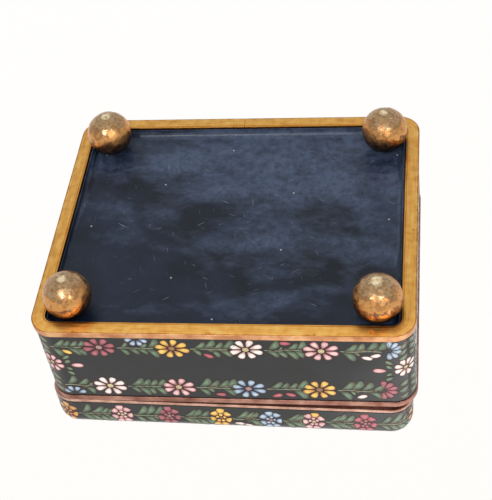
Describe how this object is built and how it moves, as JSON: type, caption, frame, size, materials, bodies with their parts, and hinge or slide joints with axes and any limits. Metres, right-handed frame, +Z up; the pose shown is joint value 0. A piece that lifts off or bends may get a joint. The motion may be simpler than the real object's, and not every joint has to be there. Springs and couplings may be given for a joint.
{
  "type": "cloisonne enamel box",
  "caption": "Oblong cloisonne enamel box with a lift-off lid, floral borders on a black ground, a brass rim round its recessed base and ball feet.",
  "frame": {"origin": "on the ground under the middle of the box, in the plane of the four feet's worn flats", "axes": "+Z up, +X along the long side to the right of someone who faces the front, +Y from the front to the back"},
  "size_m": [0.1215, 0.098, 0.0664],
  "materials": {
    "black_enamel": "vitreous black enamel on copper, with inlaid floral enamels between fine wires",
    "gilded_brass": "worn, streaky gilded brass",
    "patinated_bronze": "mottled brown patina, rubbed bright on the worn tips",
    "bare_copper": "dull handled copper"
  },
  "bodies": {
    "root": {"box_body": "black_enamel", "base_rim": "gilded_brass", "front_left_foot": "patinated_bronze", "front_right_foot": "patinated_bronze", "back_left_foot": "patinated_bronze", "back_right_foot": "patinated_bronze", "body_mouth_rim": "bare_copper", "lid": "black_enamel", "lid_mouth_rim": "bare_copper"}
  },
  "joints": []
}
